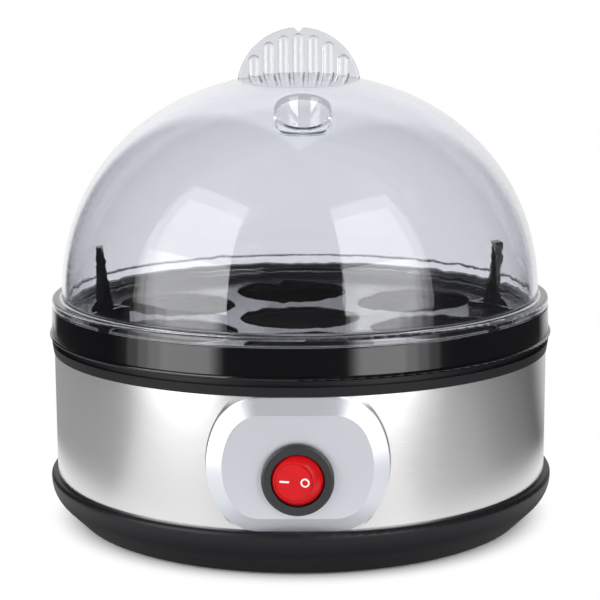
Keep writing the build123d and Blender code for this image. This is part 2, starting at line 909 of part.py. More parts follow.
def cord_gland():
    face_y = band_r + pin_gap
    hold_y = sqrt((band_r - band_t) ** 2 - gland_flange_r ** 2) - pin_gap
    nose_y = face_y + gland_flange_t + gland_nose_len
    half = outline(
        [
            (gland_bore_r, hold_y - gland_back_t),
            (gland_flange_r, hold_y - gland_back_t),
            (gland_flange_r, hold_y),
            (gland_neck_r, hold_y),
            (gland_neck_r, face_y),
            (gland_flange_r, face_y),
            (gland_flange_r, face_y + gland_flange_t),
            (gland_nose_r, nose_y),
            (gland_bore_r, nose_y),
        ],
        [((gland_flange_r, face_y + gland_flange_t), gland_flange_t / 2)],
    )
    return Pos(0, 0, gland_z()) * revolve(half, Axis.Y)


def block_ways():
    """Bore of each way of the terminal block: right one first."""
    z = foot_stand + base_wall + block_h / 2
    return [Pos(side * block_way_x, block_y, z) * Rot(90, 0, 0) for side in (1, -1)]


def terminal_block():
    floor_z = foot_stand + base_wall
    top_z = floor_z + block_h
    body = Pos(0, block_y, floor_z + block_h / 2) * Box(block_w, block_d, block_h)
    body = fillet(body.edges().filter_by(Axis.Z), rail_t / 2)
    for place in block_ways():
        body -= place * Cylinder(block_insert_r + pin_gap, block_d)
        body -= Pos(place.position.X, block_y, 0) * upright(set_screw_r + screw_gap, place.position.Z, top_z)
    return body


def terminal_inserts():
    inserts = []
    for place in block_ways():
        tube = place * (Cylinder(block_insert_r, block_d) - Cylinder(block_bore_r, block_d))
        middle = place.position.Z
        hole = upright(set_screw_r + pin_gap, middle, middle + block_h)
        inserts.append(tube - Pos(place.position.X, block_y, 0) * hole)
    return inserts


def terminal_screws():
    screws = []
    for place in block_ways():
        middle = place.position.Z
        screw = upright(set_screw_r, middle + pin_gap, middle + set_screw_len)
        screw -= Pos(0, 0, middle + set_screw_len) * Box(2 * set_screw_r, slot_w, 2 * slot_d)
        screws.append(Pos(place.position.X, block_y, 0) * screw)
    return screws


def lead(*points):
    """Insulated lead: straight runs joined by round bends."""
    path = FilletPolyline(*points, radius=lead_bend)
    return sweep(Plane(path @ 0, z_dir=path % 0) * Circle(lead_r), path)


def leads():
    way_x = block_way_x
    way_y = block_y - block_d / 2
    way_z = foot_stand + base_wall + block_h / 2
    blade_y = blade_len - switch_back
    rise_y = blade_y + lead_run_in
    stat_x = stat_body_r + stat_blade_len
    stat_z = stat_blade_places()[0].position.Z
    wire_x = fuse_len / 2 + fuse_wire_len
    wire_z = fuse_z()
    pin_x, pin_y, pin_top = element_ends()[0]
    pin_z = pin_top - element_pin_len
    low_z = pin_z - lead_pin_drop
    mid_z = seat_under_z - lead_mid_drop
    supply = lead(
        (way_x, way_y + lead_end_in, way_z),
        (way_x, way_y - lead_pin_drop, way_z),
        (lead_lane_x, lead_lane_y, way_z),
        (lead_lane_x, -lead_lane_y, way_z),
        (-blade_x, rise_y, switch_z),
        (-blade_x, blade_y, switch_z),
    )
    switched = lead(
        (blade_x, blade_y, switch_z),
        (blade_x, rise_y, switch_z),
        (lead_loop_x, -lead_loop_y, stat_z),
        (lead_loop_x, 0, stat_z),
        (stat_x, 0, stat_z),
    )
    heater = lead(
        (-stat_x, 0, stat_z),
        (-lead_loop_x, 0, stat_z),
        (-lead_loop_x, lead_loop_y / 2, lead_loop_z),
        (-pin_x, pin_y, low_z),
        (-pin_x, pin_y, pin_z),
    )
    fuse = lead(
        (pin_x, pin_y, pin_z),
        (pin_x, pin_y, low_z),
        (lead_fuse_x, fuse_y, lead_loop_z),
        (lead_fuse_x, fuse_y, wire_z),
        (wire_x, fuse_y, wire_z),
    )
    neutral = lead(
        (-wire_x, fuse_y, wire_z),
        (-lead_fuse_x, fuse_y, wire_z),
        (-lead_fuse_x, fuse_y + lead_end_in, mid_z),
        (-lead_fuse_x, lead_mid_y, mid_z),
        (-way_x, way_y - lead_pin_drop, way_z),
        (-way_x, way_y + lead_end_in, way_z),
    )
    return {
        "lead_supply": supply,
        "lead_switched": switched,
        "lead_heater": heater,
        "lead_fuse": fuse,
        "lead_neutral": neutral,
    }


nodes = {
    "lid_dome": lid_dome(),
    "egg_tray": egg_tray(),
    "upper_ring": upper_ring(),
    "body_housing": body_housing(),
    "steel_band": steel_band(),
    "base_shell": base_shell(),
    "rubber_feet": rubber_feet(),
    "base_screws": base_screws(),
    "control_panel": control_panel(),
    "panel_screws": panel_screws(),
    "switch_body": switch_body(),
    "switch_rocker": switch_rocker(),
    "switch_terminals": switch_terminals(),
    "heating_plate": heating_plate(),
    "plate_gasket": plate_gasket(),
    "clamp_ring": clamp_ring(),
    "clamp_nuts": clamp_nuts(),
    "heating_element": heating_element(),
    "element_pins": element_pins(),
    "thermostat": thermostat(),
    "thermostat_bracket": thermostat_bracket(),
    "thermostat_terminals": thermostat_terminals(),
    "bracket_nuts": bracket_nuts(),
    "thermal_fuse": thermal_fuse(),
    "fuse_sleeve": fuse_sleeve(),
    "fuse_clip": fuse_clip(),
    "cord_gland": cord_gland(),
    "terminal_block": terminal_block(),
    "terminal_inserts": terminal_inserts(),
    "terminal_screws": terminal_screws(),
    **leads(),
}

os.makedirs("parts", exist_ok=True)
for name, shape in nodes.items():
    pieces = shape if isinstance(shape, list) else [shape]
    solids = [solid for piece in pieces for solid in piece.solids()]
    export_step(Compound(children=solids), f"parts/{name}.step")
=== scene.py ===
# %% [markdown]
# # Dressing an egg cooker
# The packed model is the frame of this scene: every part of the cooker at its real size, in metres, with
# the front towards -Y and the feet on z = 0. Nothing here moves or reshapes those parts. The lesson gives
# each one the finish of the real material, prints the marks on the switch, and lights it all as a product
# photograph.

# %% Load the frame
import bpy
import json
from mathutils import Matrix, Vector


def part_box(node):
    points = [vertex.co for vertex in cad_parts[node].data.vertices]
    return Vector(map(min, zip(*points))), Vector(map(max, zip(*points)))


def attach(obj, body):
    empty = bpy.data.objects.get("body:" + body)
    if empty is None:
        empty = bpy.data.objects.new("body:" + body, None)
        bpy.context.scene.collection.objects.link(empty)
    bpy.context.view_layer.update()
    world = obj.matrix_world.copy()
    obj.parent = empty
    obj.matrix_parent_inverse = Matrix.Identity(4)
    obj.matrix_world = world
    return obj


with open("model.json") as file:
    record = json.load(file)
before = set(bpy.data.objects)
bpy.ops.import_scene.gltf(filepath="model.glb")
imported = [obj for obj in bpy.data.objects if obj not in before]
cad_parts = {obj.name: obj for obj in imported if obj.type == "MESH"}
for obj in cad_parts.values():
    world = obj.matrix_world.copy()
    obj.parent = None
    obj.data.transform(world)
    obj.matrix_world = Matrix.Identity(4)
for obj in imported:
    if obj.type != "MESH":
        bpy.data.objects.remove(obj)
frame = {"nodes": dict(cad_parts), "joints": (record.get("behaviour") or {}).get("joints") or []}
print("parts in the frame:", len(frame["nodes"]))

# %% [markdown]
# ## Tools
# Two kinds of tools are enough: bmesh for new shapes and shader nodes for finishes. The scene counts in
# metres, so a length is written in millimetres, and the depth of a grain in micrometres, each times its
# unit.

# %% Imports and units
import json
from math import pi, radians

import bmesh
import bpy
from mathutils import Matrix, Vector

MM = 0.001
UM = 1e-6
scene = bpy.context.scene
nodes = frame["nodes"]
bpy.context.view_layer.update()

# %% [markdown]
# ## The camera
# The camera stands back with a long lens, a little above the lid, so the rings read as thin ellipses. It
# could be aimed with a constraint, but four moves written out are easier to check: back off along -Y, tip
# down, roll a touch, and swing the whole tripod slightly round the cooker.

# %% Set up the camera
CAMERA_BACK = 640.5 * MM
CAMERA_UP = 190.2 * MM
CAMERA_DOWN = radians(10.12)
CAMERA_ROLL = radians(-0.3)
CAMERA_SWING = radians(0.63)
SENSOR = 36.0
PICTURE = 600
FOCAL_PIXELS = 1818.7

lens = bpy.data.cameras.new("camera")
lens.sensor_width = SENSOR
lens.lens = SENSOR * FOCAL_PIXELS / PICTURE
camera = bpy.data.objects.new("camera", lens)
scene.collection.objects.link(camera)
swing = Matrix.Rotation(CAMERA_SWING, 4, "Z")
back_off = Matrix.Translation((0, -CAMERA_BACK, CAMERA_UP))
tip_down = Matrix.Rotation(pi / 2 - CAMERA_DOWN, 4, "X")
roll = Matrix.Rotation(CAMERA_ROLL, 4, "Z")
camera.matrix_world = swing @ back_off @ tip_down @ roll
scene.camera = camera
scene.view_settings.view_transform = "Standard"
print("lens, mm:", round(lens.lens, 1))

# %% [markdown]
# ## Shader maths as plain expressions
# A finish is a small formula over the surface: a little noise here, a stretch there. Wiring every Math node
# by hand hides the formula, so one class wraps an output socket and turns + - * / into nodes. Its node
# method adds any other kind of node: settings first, then the values or links of its inputs.

# %% The wire class
class Wire:
    """An output socket in a node tree; arithmetic on it adds Math nodes."""

    def __init__(self, tree, socket=None):
        self.tree = tree
        self.socket = socket

    def feed(self, target, inputs):
        for name, value in inputs.items():
            if isinstance(value, Wire):
                self.tree.links.new(value.socket, target.inputs[name])
            else:
                target.inputs[name].default_value = value

    def node(self, kind, settings, inputs, output=0):
        made = self.tree.nodes.new(kind)
        for name, value in settings.items():
            if name == "stops":
                self.set_stops(made.color_ramp, value)
            else:
                setattr(made, name, value)
        self.feed(made, inputs)
        return Wire(self.tree, made.outputs[output])

    def set_stops(self, ramp, stops):
        while len(ramp.elements) < len(stops):
            ramp.elements.new(1.0)
        for element, (place, grey) in zip(ramp.elements, stops):
            element.position = place
            element.color = (grey, grey, grey, 1.0)

    def maths(self, operation, first, second=0.0):
        return self.node("ShaderNodeMath", {"operation": operation}, {0: first, 1: second})

    def __add__(self, other):
        return self.maths("ADD", self, other)

    def __sub__(self, other):
        return self.maths("SUBTRACT", self, other)

    def __mul__(self, other):
        return self.maths("MULTIPLY", self, other)

    def __truediv__(self, other):
        return self.maths("DIVIDE", self, other)

    def __radd__(self, other):
        return self.maths("ADD", other, self)

    def __rsub__(self, other):
        return self.maths("SUBTRACT", other, self)

    def __rmul__(self, other):
        return self.maths("MULTIPLY", other, self)

    def __rtruediv__(self, other):
        return self.maths("DIVIDE", other, self)


print("operators on a wire:", [name for name in vars(Wire) if name.startswith("__r")])

# %% [markdown]
# ## Places and directions
# Many formulas ask the same things of a place on the cooker: one of its axes, its distance from the middle,
# or its turn round the cooker, counted from the front. Each is a node or two, so each gets a short helper.
# A soft step and a straight blend turn the answers into shares and amounts.

# %% Helpers for places
def axis_of(wire, vector, axis):
    return wire.node("ShaderNodeSeparateXYZ", {}, {0: vector}, axis)


def length_of(wire, vector):
    return wire.node("ShaderNodeVectorMath", {"operation": "LENGTH"}, {0: vector}, "Value")


def turn_of(wire, vector):
    """Turn round the cooker, in radians from the front, of a place or a direction."""
    return wire.maths("ARCTAN2", axis_of(wire, vector, "X"), 0 - axis_of(wire, vector, "Y"))


def fade(wire, value, limits):
    """From 0 to 1 as the value passes from the first limit to the second."""
    inputs = {"Value": value, "From Min": limits[0], "From Max": limits[1]}
    return wire.node("ShaderNodeMapRange", {"interpolation_type": "SMOOTHSTEP"}, inputs)


def between(share, low, high):
    """A number between the two, by a share from 0 to 1."""
    return low + (high - low) * share


print("helpers for places:", axis_of.__name__, length_of.__name__, turn_of.__name__)

# %% [markdown]
# ## Who looks at the studio
# The cooker stands in a white studio. To the camera, and through clear plastic, all of it is plain white.
# Matt surfaces get even light from it, and mirrors see a darker room. The Light Path node tells these
# apart, because it knows how a ray has come here. The last bounce alone isn't enough: a mirror may lie
# behind clear plastic, so the count of mirrors on the way is asked as well.

# %% Kinds of rays
ANY_MIRROR = 0.5


def light_path(wire, output):
    return wire.node("ShaderNodeLightPath", {}, {}, output)


def seen_straight(wire):
    """1 for what the camera sees with no mirror on the way, also through clear plastic."""
    through = light_path(wire, "Is Transmission Ray")
    unmirrored = 1 - wire.maths("GREATER_THAN", light_path(wire, "Glossy Depth"), ANY_MIRROR)
    return wire.maths("MAXIMUM", light_path(wire, "Is Camera Ray"), through * unmirrored)


def seen_in_mirror(wire):
    """1 for what shows in a mirror, also where clear plastic lies in front of it."""
    shown = wire.maths("MAXIMUM", light_path(wire, "Is Glossy Ray"), light_path(wire, "Is Transmission Ray"))
    return shown * (1 - seen_straight(wire))


print("kinds of rays:", seen_straight.__name__, seen_in_mirror.__name__)

# %% [markdown]
# ## The room
# Mirrors need something to look at, so for them the studio is a room with a tone for every direction round
# the cooker: white behind, nearly black at the sides, and grey with a darker middle in front. The tones
# could be painted on a backdrop, but a colour ramp over the turn, in degrees from the front, is easier to
# adjust.

# %% The room
WHITE = (1, 1, 1, 1)
WORLD_LIGHT = 0.20
ROOM_TONES = {
    -180: 1.0, -156: 1.0, -148: 0.04, -92: 0.04, -84: 0.2, -42: 0.2, -34: 0.09,
    18: 0.09, 26: 0.2, 62: 0.2, 74: 0.09, 132: 0.05, 142: 0.05, 152: 0.8, 180: 1.0,
}


def tone_round(wire, towards, tones):
    """Tone by the turn of a place or a direction; the tones are keyed by degrees."""
    share = turn_of(wire, towards) / (2 * pi) + 0.5
    stops = [((turn + 180) / 360, tone) for turn, tone in tones.items()]
    ramp = wire.node("ShaderNodeValToRGB", {"stops": stops}, {0: share})
    return wire.node("ShaderNodeSeparateColor", {}, {0: ramp}, "Red")


world = bpy.data.worlds.new("studio")
world.use_nodes = True
scene.world = world
sky = Wire(world.node_tree)
plain_white = seen_straight(sky)
mirrored = seen_in_mirror(sky)
matt = 1 - sky.maths("MAXIMUM", plain_white, mirrored)
room = tone_round(sky, sky.node("ShaderNodeTexCoord", {}, {}, "Generated"), ROOM_TONES)
strength = plain_white + mirrored * room + matt * WORLD_LIGHT
sky.feed(world.node_tree.nodes["Background"], {"Color": WHITE, "Strength": strength})
print("tones round the room:", len(ROOM_TONES))

# %% [markdown]
# ## Starting a finish
# Every finish begins the same way: a Principled shader, a set of plain numbers on its sockets, and the
# object's own coordinates in metres. Because every part sits at the origin, those coordinates are the real
# place on the cooker. Where two surfaces share a place, their shaders are mixed and the mix goes to the
# material's output.

# %% Helpers for materials
def start_finish(name, **constants):
    """A material with plain values on its shader, a wire to add nodes with, and the shader."""
    material = bpy.data.materials.new(name)
    material.use_nodes = True
    wire = Wire(material.node_tree)
    shader = material.node_tree.nodes["Principled BSDF"]
    wire.feed(shader, {key.replace("_", " "): value for key, value in constants.items()})
    return material, wire, shader


def place_on(wire):
    return wire.node("ShaderNodeTexCoord", {}, {}, "Object")


def mix_shaders(wire, share, first, second):
    return wire.node("ShaderNodeMixShader", {}, {0: share, 1: first, 2: second})


def show(wire, surface):
    wire.feed(wire.tree.nodes["Material Output"], {"Surface": surface})


print("helpers for materials:", start_finish.__name__, place_on.__name__, mix_shaders.__name__)

# %% [markdown]
# ## The floor
# The floor is a round white table top. A plane would do, but a circle operator gives the same edge to every
# side. The table is small, so the steel band looks down on the table's painted glow while the ring above it
# looks past the edge, into the room.

# %% The shape of the floor
FLOOR_R = 410 * MM
FLOOR_SIDES = 96


def new_object(name, shape):
    """A mesh object at the origin whose bmesh is made by the given function."""
    mesh = bpy.data.meshes.new(name)
    work = bmesh.new()
    shape(work)
    work.to_mesh(mesh)
    work.free()
    made = bpy.data.objects.new(name, mesh)
    scene.collection.objects.link(made)
    return made


def floor_sheet(work):
    bmesh.ops.create_circle(work, cap_ends=True, segments=FLOOR_SIDES, radius=FLOOR_R)


floor = new_object("floor", floor_sheet)
print("floor radius, mm:", FLOOR_R / MM)

# %% [markdown]
# ## The finish of the floor
# Close to the cooker the table is a lit surface that takes the shadow, and further out it turns into even
# white. In mirrors it glows instead, and that glow is painted light: white near the cooker, a tone by the
# turn further out that stands for the softboxes' light on the table, and a painted shadow under the base,
# where no light gets in.

# %% The finish of the floor
SHADOW_R = (76 * MM, 91 * MM)
# Painted shadow: in mirrors the table's glow falls to a dark tone under the base, across these radii.
UNDER_R = (84 * MM, 118 * MM)
UNDER_SHADOW_TONE = 0.2
NEAR_R = (120 * MM, 170 * MM)
FLOOR_WHITE = (0.93, 0.93, 0.93, 1)
FLOOR_ROUGHNESS = 0.9
# Painted light: tones of the table's glow in mirrors by the turn, brighter where the softboxes light it.
TABLE_GLOW_TONES = {
    -180: 1.0, -156: 1.0, -146: 0.37, -71: 0.37, -63: 0.75, -52: 0.83, -30: 0.82, -22: 0.70,
    22: 0.70, 28: 0.82, 36: 0.83, 45: 0.58, 70: 0.45, 85: 0.30, 110: 0.18, 118: 0.12,
    126: 0.3, 136: 0.6, 180: 1.0,
}


def glow(wire, strength):
    return wire.node("ShaderNodeEmission", {}, {"Color": WHITE, "Strength": strength})


def floor_material():
    material, wire, shader = start_finish(
        "floor_white", Base_Color=FLOOR_WHITE, Roughness=FLOOR_ROUGHNESS, Specular_IOR_Level=0.0
    )
    place = place_on(wire)
    reach = length_of(wire, place)
    # Painted light: in mirrors the table glows white near the cooker and by the turn further out, with
    # painted shadow under the base.
    table_glow = 1 - fade(wire, reach, NEAR_R) * (1 - tone_round(wire, place, TABLE_GLOW_TONES))
    tone = table_glow * between(fade(wire, reach, UNDER_R), UNDER_SHADOW_TONE, 1.0)
    lit = Wire(wire.tree, shader.outputs[0])
    plain = mix_shaders(wire, fade(wire, reach, SHADOW_R) * seen_straight(wire), lit, glow(wire, 1.0))
    in_mirrors = mix_shaders(wire, tone, glow(wire, 0.0), glow(wire, 1.0))
    show(wire, mix_shaders(wire, seen_in_mirror(wire), plain, in_mirrors))
    return material


floor.data.materials.append(floor_material())
print("tones round the table:", len(TABLE_GLOW_TONES))

# %% [markdown]
# ## Softboxes
# Two tall softboxes stand beyond the table, left and right of the camera, and reach below its edge. They
# draw the long glare down the dome and the bright bands on the ring. A softbox is dimmer towards its edge
# and brighter by its lamp, so each is built from sheets, one in front of the other. A sheet has a share of
# the softbox's width and a radiance. The upper four light the dome and end at different heights. They line
# up along the side by the camera, so the glare is crisp there and fades outwards. The lower four, which the
# ring looks at, lean only half as far, so they fade to both sides.

# %% Softboxes
SOFTBOX_DISTANCE = 620 * MM
SOFTBOX_GAP = 4 * MM
SOFTBOXES = {"softbox_left": (-55, 540 * MM), "softbox_right": (41, 470 * MM)}
SHEET_FOOT = -200 * MM
SHEET_SPLIT = 60 * MM
LEAN_FULL = 1.0
LEAN_HALF = 0.5
DOME_SHEETS = ((1.0, 880 * MM, 1.4), (0.84, 707 * MM, 1.1), (0.92, 308 * MM, 1.1), (0.76, 308 * MM, 1.1))
RING_SHEETS = ((0.95, 0.8), (0.76, 1.1), (0.6, 1.1), (0.44, 1.1))

sheets = [(share, LEAN_FULL, SHEET_SPLIT, top, radiance) for share, top, radiance in DOME_SHEETS]
sheets += [(share, LEAN_HALF, SHEET_FOOT, SHEET_SPLIT, radiance) for share, radiance in RING_SHEETS]


def softbox(name, turn, width):
    to_camera = -1 if turn > 0 else 1
    stand = Matrix.Rotation(radians(turn), 4, "Z")
    upright = Matrix.Rotation(pi / 2, 4, "X")
    for step, (share, lean, lowest, highest, radiance) in enumerate(sheets):
        lamp = bpy.data.lights.new(f"{name}_{step}", "AREA")
        lamp.shape = "RECTANGLE"
        lamp.size = share * width
        lamp.size_y = highest - lowest
        lamp.energy = radiance * pi * lamp.size * lamp.size_y
        sheet = bpy.data.objects.new(lamp.name, lamp)
        scene.collection.objects.link(sheet)
        aside = to_camera * lean * (width - lamp.size) / 2
        place = Vector((aside, step * SOFTBOX_GAP - SOFTBOX_DISTANCE, (lowest + highest) / 2))
        sheet.matrix_world = stand @ Matrix.Translation(place) @ upright


for name, (turn, width) in SOFTBOXES.items():
    softbox(name, turn, width)
print("softboxes:", list(SOFTBOXES), "of", len(sheets), "sheets")

# %% [markdown]
# ## Grain, colour and depth
# Real surfaces are never quite even. A noise at the size of the real grain shifts the colour and the
# roughness a little and lifts the surface by a few micrometres. Because the coordinates are in metres, a
# grain of half a millimetre is simply a noise with a scale of 2000. The Mix node has sockets for every type
# of value, so the three that carry colour are named here.

# %% Helpers for finishes
COLOUR_FIRST = 6
COLOUR_SECOND = 7
COLOUR_MIXED = 2


def grain(wire, place, size, detail=3.0):
    """Noise from 0 to 1 with features of about the given size in metres."""
    inputs = {"Vector": place, "Scale": 1.0 / size, "Detail": detail}
    return wire.node("ShaderNodeTexNoise", {}, inputs)


def mix_colours(wire, share, first, second):
    """Colour between the two, by a share from 0 to 1."""
    inputs = {0: share, COLOUR_FIRST: first, COLOUR_SECOND: second}
    return wire.node("ShaderNodeMix", {"data_type": "RGBA"}, inputs, COLOUR_MIXED)


def bump(wire, height, depth=1.0):
    """A normal from heights in metres, or from noise that is given a depth."""
    return wire.node("ShaderNodeBump", {}, {"Strength": 1.0, "Distance": depth, "Height": height})


def dress(material, *names):
    """Gives the material to the named parts of the frame."""
    for name in names:
        slots = nodes[name].data.materials
        slots.clear()
        slots.append(material)


print("helpers for finishes:", grain.__name__, mix_colours.__name__, bump.__name__, dress.__name__)

# %% [markdown]
# ## Moulded plastics
# Most of the cooker is black plastic, in two finishes. The ring and the tray come from a polished mould:
# their gloss is broken only by a faint long ripple. The housing and the base come from a spark-eroded
# mould, which leaves a fine even texture, so they are satin. One recipe makes both: a texture and a ripple,
# each with its size and its depth.

# %% The plastic recipe
PLASTIC_IOR = 1.5
COLOUR_SPREAD = 0.2
GLOSS_SPREAD = 0.15


def tinted(colour, share):
    return tuple(channel * share for channel in colour) + (1,)


def moulded_plastic(name, colour, roughness, texture, ripple, shine=0.5):
    """Plastic with a fine texture and a long ripple, each given as its size and its depth."""
    material, wire, shader = start_finish(name, IOR=PLASTIC_IOR, Specular_IOR_Level=shine)
    place = place_on(wire)
    texture_size, texture_depth = texture
    ripple_size, ripple_depth = ripple
    fine = grain(wire, place, texture_size)
    slow = grain(wire, place, ripple_size, 1.0)
    deeper = tinted(colour, 1 - COLOUR_SPREAD)
    paler = tinted(colour, 1 + COLOUR_SPREAD)
    wire.feed(shader, {
        "Base Color": mix_colours(wire, slow, deeper, paler),
        "Roughness": between(fine, (1 - GLOSS_SPREAD) * roughness, (1 + GLOSS_SPREAD) * roughness),
        "Normal": bump(wire, fine * texture_depth + slow * ripple_depth),
    })
    return material


print("index of refraction of the plastics:", PLASTIC_IOR)

# %% [markdown]
# ## Black and grey plastics
# The tray is washed after every use, so it is a little rougher than the ring and shines less. The body of
# the switch is a dark grey of its own, from a finely textured mould.

# %% Black and grey plastics
GLOSS_BLACK = (0.003, 0.003, 0.0038)
SATIN_BLACK = (0.0075, 0.0072, 0.0094)
SWITCH_GREY = (0.021, 0.022, 0.024)

gloss_black = moulded_plastic(
    "gloss_black", GLOSS_BLACK, roughness=0.09, texture=(0.4 * MM, 0.2 * UM), ripple=(18 * MM, 8 * UM)
)
tray_black = moulded_plastic(
    "tray_black", GLOSS_BLACK, roughness=0.16, shine=0.34,
    texture=(0.4 * MM, 0.4 * UM), ripple=(18 * MM, 8 * UM),
)
satin_black = moulded_plastic(
    "satin_black", SATIN_BLACK, roughness=0.42, shine=0.28,
    texture=(0.25 * MM, 4 * UM), ripple=(25 * MM, 6 * UM),
)
switch_grey = moulded_plastic(
    "switch_grey", SWITCH_GREY, roughness=0.38, texture=(0.2 * MM, 3 * UM), ripple=(9 * MM, 3 * UM)
)
dress(gloss_black, "upper_ring")
dress(tray_black, "egg_tray")
dress(satin_black, "body_housing", "base_shell", "cord_gland")
dress(switch_grey, "switch_body")
print("plastics:", gloss_black.name, tray_black.name, satin_black.name, switch_grey.name)

# %% [markdown]
# ## Painted shade in the gap beside the panel
# The round panel sits in the steel band, and the narrow gap beside it lies in shade. It could be a groove,
# but the band isn't reshaped here, so the shade is painted into the band's colour through a mask: a disc a
# little wider than the panel, on the front of the band only. It ends where the panel is cut off flat, above
# and below.

# %% A mask for the painted shade in the gap
PANEL_LOW, PANEL_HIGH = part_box("control_panel")
PANEL_R = (PANEL_HIGH.x - PANEL_LOW.x) / 2
PANEL_Z = (PANEL_HIGH.z + PANEL_LOW.z) / 2
GAP_R = (PANEL_R + 0.35 * MM, PANEL_R + 0.65 * MM)
GAP_H = (17 * MM, 21 * MM)


def panel_gap_shade(wire, place):
    """1 where shade is painted: on the band behind the panel and just beside it; 0 elsewhere."""
    rise = axis_of(wire, place, "Z") - PANEL_Z
    from_middle = wire.node("ShaderNodeCombineXYZ", {}, {"X": axis_of(wire, place, "X"), "Z": rise})
    beside = 1 - fade(wire, length_of(wire, from_middle), GAP_R)
    level = 1 - fade(wire, wire.maths("ABSOLUTE", rise), GAP_H)
    in_front = wire.maths("LESS_THAN", axis_of(wire, place, "Y"), 0.0)
    return beside * level * in_front


print("panel radius, mm:", round(PANEL_R / MM, 2))

# %% [markdown]
# ## The steel band
# The band is thin stainless strip, brushed along its length before it was rolled, so its scratches run
# round the cooker. They are drawn in the band's own terms: the turn round the axis, stretched long, and the
# height, squeezed fine. The noise tips the surface up and down only, so highlights smear into upright bars.
# A slow cloud over the whole band keeps its gloss from looking too even.

# %% Brushed steel
BAND_LOW, BAND_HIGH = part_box("steel_band")
BAND_R = (BAND_HIGH.x - BAND_LOW.x) / 2
BRUSH_LINE = 0.16 * MM
BRUSH_LENGTH = 14 * MM
BRUSH_DEPTH = 3.2 * UM
BRUSH_ROUGHNESS = (0.17, 0.25)
CLOUD_SIZE = 30 * MM
CLOUD_ROUGHNESS = 0.04
STEEL_DARK = (0.75, 0.745, 0.75, 1)
STEEL_PALE = (0.85, 0.845, 0.845, 1)
# Painted shade for the gap beside the panel, mixed into the band's colour.
GAP_SHADE = (0.22, 0.22, 0.225, 1)


def brushed_steel():
    material, wire, shader = start_finish("brushed_steel", Metallic=1.0)
    place = place_on(wire)
    along = turn_of(wire, place) * (BAND_R / BRUSH_LENGTH)
    across = axis_of(wire, place, "Z") / BRUSH_LINE
    stretched = wire.node("ShaderNodeCombineXYZ", {}, {"X": along, "Z": across})
    scratch = grain(wire, stretched, 1.0, 2.0)
    cloud = grain(wire, place, CLOUD_SIZE, 1.0)
    steel = mix_colours(wire, scratch, STEEL_DARK, STEEL_PALE)
    wire.feed(shader, {
        # The band's colour darkens to painted shade in the gap beside the panel.
        "Base Color": mix_colours(wire, panel_gap_shade(wire, place), steel, GAP_SHADE),
        "Roughness": between(scratch, *BRUSH_ROUGHNESS) + CLOUD_ROUGHNESS * cloud,
        "Normal": bump(wire, scratch, BRUSH_DEPTH),
    })
    return material


dress(brushed_steel(), "steel_band")
print("band radius, mm:", round(BAND_R / MM, 2))

# %% [markdown]
# ## The clear lid
# The lid is one clear moulding two millimetres thick. Real glass shading bends light at both faces of that
# wall, which draws the pale double line round the dome by itself. A faint tint stands for the light that
# the plastic swallows, and it is deeper in the finger plate on top. Lamps are let through by a see-through
# shadow, as they would be by so thin a wall. Light that is caught between the two faces, as at the rim of
# the vent, runs on further than it can be followed. Real plastic lets it out again as a soft glow, so a
# path that is on its sixth bounce is given that glow.

# %% Clear plastic
LID_TINT = (0.85, 0.863, 0.90, 1)
KNOB_TINT = (0.74, 0.752, 0.782, 1)
KNOB_FADE = (148 * MM, 158 * MM)
LID_SHADOW = (0.88, 0.89, 0.91, 1)
LID_ROUGHNESS = (0.015, 0.035)
LID_RIPPLE = 35 * MM
LID_RIPPLE_DEPTH = 20 * UM
NO_GLOW = (0, 0, 0, 1)
EDGE_GLOW = (0.52, 0.53, 0.56, 1)
EDGE_BOUNCE = 6


def clear_plastic():
    material, wire, shader = start_finish(
        "clear_plastic", Transmission_Weight=1.0, IOR=PLASTIC_IOR, Emission_Strength=1.0
    )
    place = place_on(wire)
    slow = grain(wire, place, LID_RIPPLE, 1.0)
    on_knob = fade(wire, axis_of(wire, place, "Z"), KNOB_FADE)
    caught = wire.maths("COMPARE", light_path(wire, "Ray Depth"), EDGE_BOUNCE)
    wire.feed(shader, {
        "Emission Color": mix_colours(wire, caught, NO_GLOW, EDGE_GLOW),
        "Base Color": mix_colours(wire, on_knob, LID_TINT, KNOB_TINT),
        "Roughness": between(slow, *LID_ROUGHNESS),
        "Normal": bump(wire, slow, LID_RIPPLE_DEPTH),
    })
    passing = wire.node("ShaderNodeBsdfTransparent", {}, {"Color": LID_SHADOW})
    solid = Wire(wire.tree, shader.outputs[0])
    show(wire, mix_shaders(wire, light_path(wire, "Is Shadow Ray"), solid, passing))
    return material


dress(clear_plastic(), "lid_dome")
print("lid wall tint:", LID_TINT[:3])

# %% [markdown]
# ## The silver panel
# The panel is plastic under a coat of silver paint. Fine metal flakes lie in the lacquer and glint a
# little, each tipped its own way. Most of the shader is metal and the rest is plain paint, with a clear
# coat on top, and a very fine noise stands for the flakes.

# %% Silver paint
FLAKE_DARK = (0.62, 0.634, 0.69, 1)
FLAKE_PALE = (0.78, 0.794, 0.853, 1)
FLAKE_SIZE = 0.12 * MM
FLAKE_DEPTH = 2.5 * UM
PAINT_RIPPLE = 12 * MM
PAINT_ROUGHNESS = (0.34, 0.40)


def silver_paint():
    material, wire, shader = start_finish(
        "silver_paint", Metallic=0.7, Coat_Weight=0.25, Coat_Roughness=0.12
    )
    place = place_on(wire)
    flake = grain(wire, place, FLAKE_SIZE, 1.0)
    slow = grain(wire, place, PAINT_RIPPLE, 2.0)
    wire.feed(shader, {
        "Base Color": mix_colours(wire, flake, FLAKE_DARK, FLAKE_PALE),
        "Roughness": between(slow, *PAINT_ROUGHNESS),
        "Normal": bump(wire, flake, FLAKE_DEPTH),
    })
    return material


dress(silver_paint(), "control_panel")
print("paint between", FLAKE_DARK[:3], "and", FLAKE_PALE[:3])

